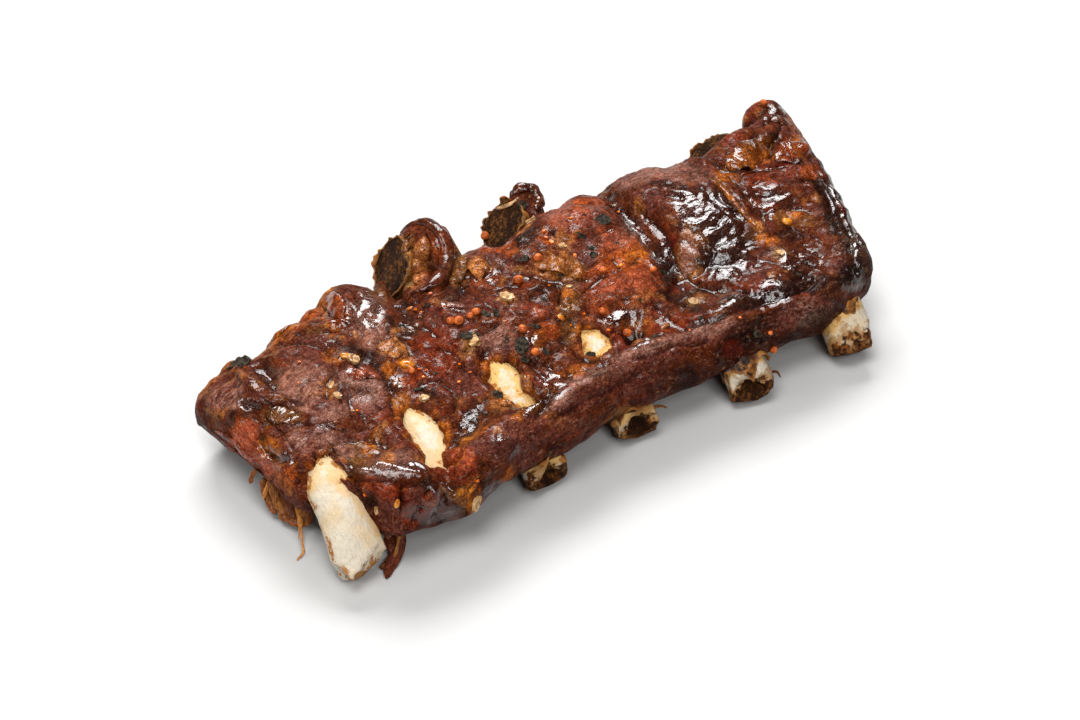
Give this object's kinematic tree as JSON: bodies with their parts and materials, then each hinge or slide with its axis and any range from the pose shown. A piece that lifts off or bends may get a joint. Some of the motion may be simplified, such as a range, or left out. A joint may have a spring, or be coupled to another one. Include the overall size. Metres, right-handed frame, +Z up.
{
  "type": "rack of ribs",
  "caption": "Roasted pork ribs: a slab of glazed meat with a thick front lip, curved rib bones run through it, bone tips below the lip and sawn rib heads along the back.",
  "frame": {"origin": "bottom centre of the rack's bounding box, on the surface it lies on", "axes": "+X along the rack from its narrow left end to its right end, +Y from the front lip towards the sawn rib heads, +Z up through the slab"},
  "size_m": [0.2259, 0.1182, 0.0341],
  "materials": {
    "meat": "glossy",
    "bone": "satin"
  },
  "bodies": {
    "root": {"meat": "meat", "rib_bone_1": "bone", "rib_bone_2": "bone", "rib_bone_3": "bone", "rib_bone_4": "bone", "rib_bone_5": "bone", "rib_bone_6": "bone"}
  },
  "joints": []
}
